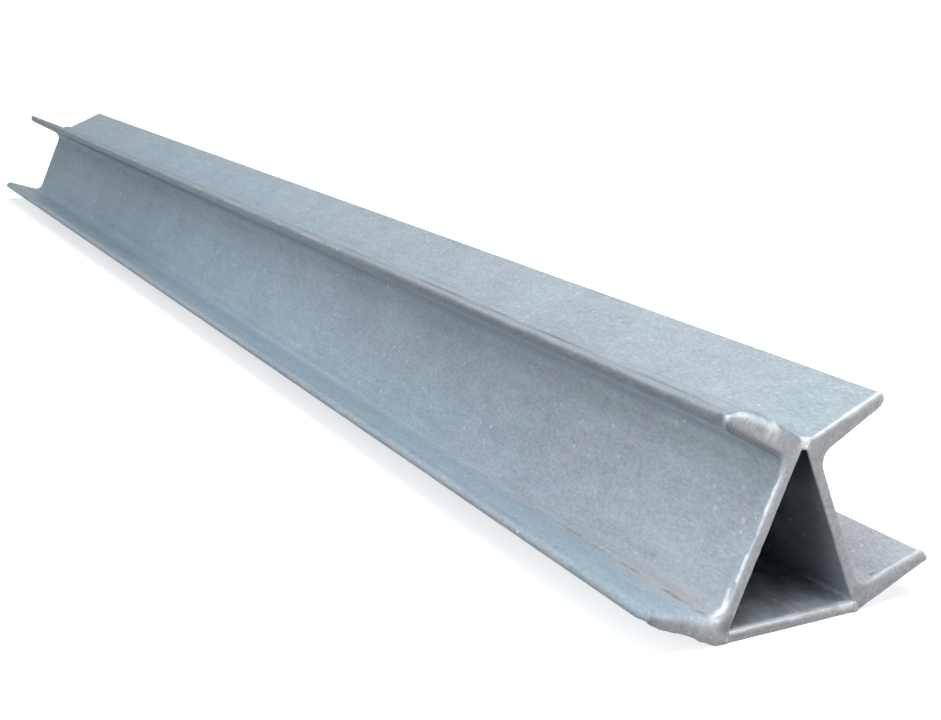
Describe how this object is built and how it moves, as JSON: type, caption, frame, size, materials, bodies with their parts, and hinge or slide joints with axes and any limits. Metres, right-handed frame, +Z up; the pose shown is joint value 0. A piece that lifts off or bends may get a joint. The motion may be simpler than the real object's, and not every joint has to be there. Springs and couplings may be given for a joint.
{
  "type": "steel corner post",
  "caption": "Galvanised steel corner post: two taper-flange channels welded heel to heel at an angle, their backs closed by a flat bar, leaving a slot on each side.",
  "frame": {"origin": "middle of the footprint, on the ground under the closing bar", "axes": "+Y along the post, +Z up from the closing bar to the welded apex, +X to the right channel"},
  "size_m": [0.1682, 1.5, 0.1108],
  "materials": {
    "galvanised_steel": "hot-dip galvanised, dull grey with faint mottling and white specks",
    "weld_metal": "weld bead, rippled and galvanised over"
  },
  "bodies": {
    "root": {"right_channel": "galvanised_steel", "left_channel": "galvanised_steel", "closing_bar": "galvanised_steel", "apex_weld": "weld_metal", "right_seam_weld": "weld_metal", "left_seam_weld": "weld_metal"}
  },
  "joints": []
}
